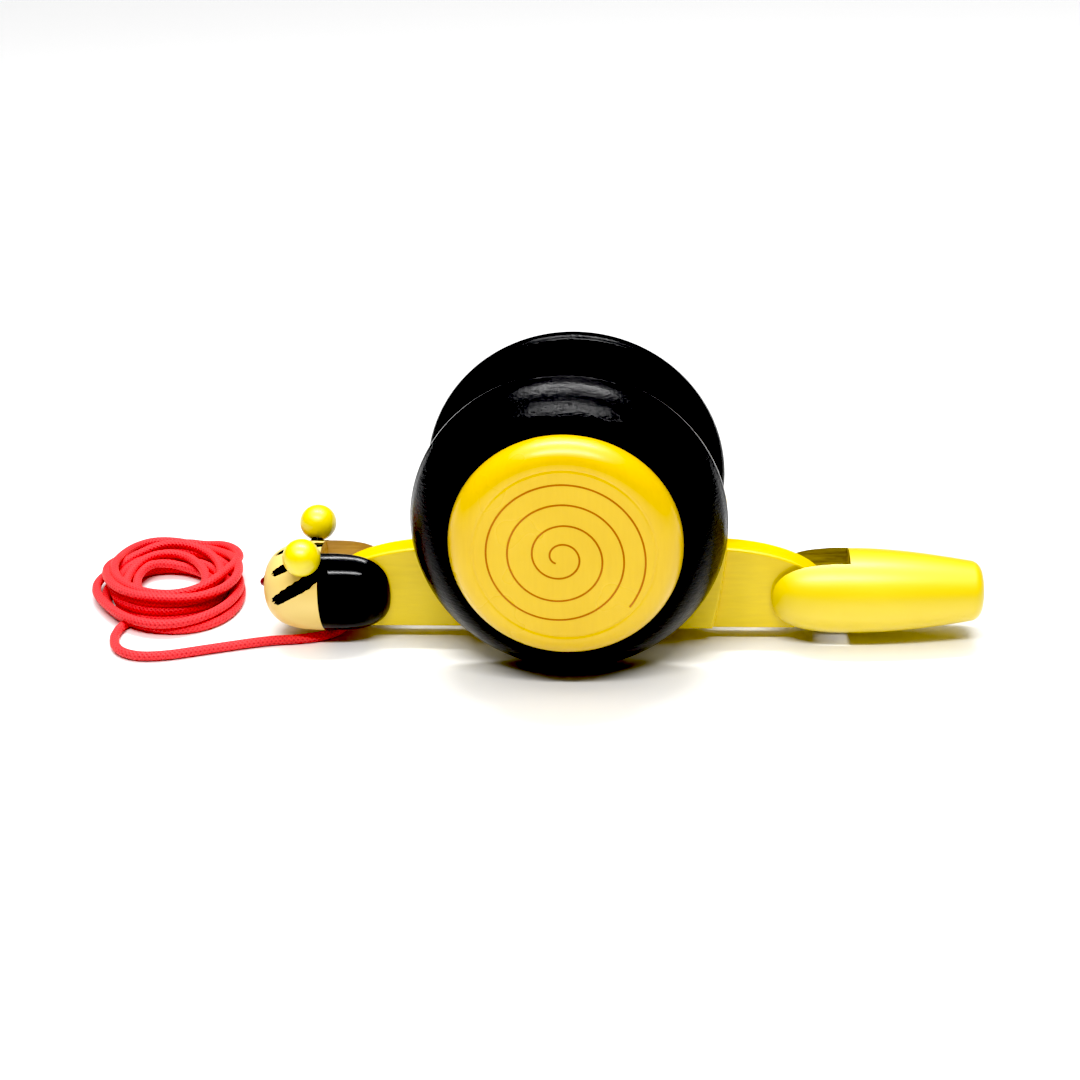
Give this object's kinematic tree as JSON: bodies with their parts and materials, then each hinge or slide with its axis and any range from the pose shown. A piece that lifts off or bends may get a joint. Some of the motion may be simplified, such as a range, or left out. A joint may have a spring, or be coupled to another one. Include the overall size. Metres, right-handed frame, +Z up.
{
  "type": "pull along toy",
  "caption": "Wooden pull along snail toy: a board body between fat wheels, with a hinged head, a hinged tail and a coiled pull cord.",
  "frame": {"origin": "on the floor under the middle of the toy, the cord left out", "axes": "+X from the head to the tail, +Y to the toy's right side, +Z up"},
  "size_m": [0.3086, 0.1039, 0.1],
  "materials": {
    "yellow_lacquer": "gloss lacquer",
    "black_lacquer": "satin lacquer",
    "bare_wood": "clear varnish",
    "red_lacquer": "gloss lacquer",
    "red_cord": "braided"
  },
  "bodies": {
    "body": {"body_board": "yellow_lacquer", "cheek_left": "yellow_lacquer", "cheek_right": "yellow_lacquer", "cord_lead": "red_cord", "cord_coil": "red_cord", "cord_end_knot": "red_cord"},
    "wheelset": {"axle": "bare_wood", "wheel_left": "black_lacquer", "wheel_right": "black_lacquer", "cap_left": "yellow_lacquer", "cap_right": "yellow_lacquer"},
    "head": {"head": "bare_wood", "head_pin": "bare_wood", "nose": "red_lacquer", "antenna_peg_left": "black_lacquer", "antenna_peg_right": "black_lacquer", "antenna_ball_left": "yellow_lacquer", "antenna_ball_right": "yellow_lacquer"},
    "tail": {"tail": "yellow_lacquer", "tail_pin": "bare_wood"}
  },
  "joints": [
    {"name": "wheels_turn", "type": "hinge", "parent": "body", "child": "wheelset", "pos_m": [-0.01325, 0, 0.05], "axis": [0, 1, 0], "continuous": true},
    {"name": "head_nod", "type": "hinge", "parent": "body", "child": "head", "pos_m": [-0.08825, 0, 0.017], "axis": [0, 1, 0], "range_deg": [0, 35]},
    {"name": "tail_wag", "type": "hinge", "parent": "body", "child": "tail", "pos_m": [0.06175, 0, 0.017], "axis": [0, -1, 0], "range_deg": [-30, 60]}
  ]
}
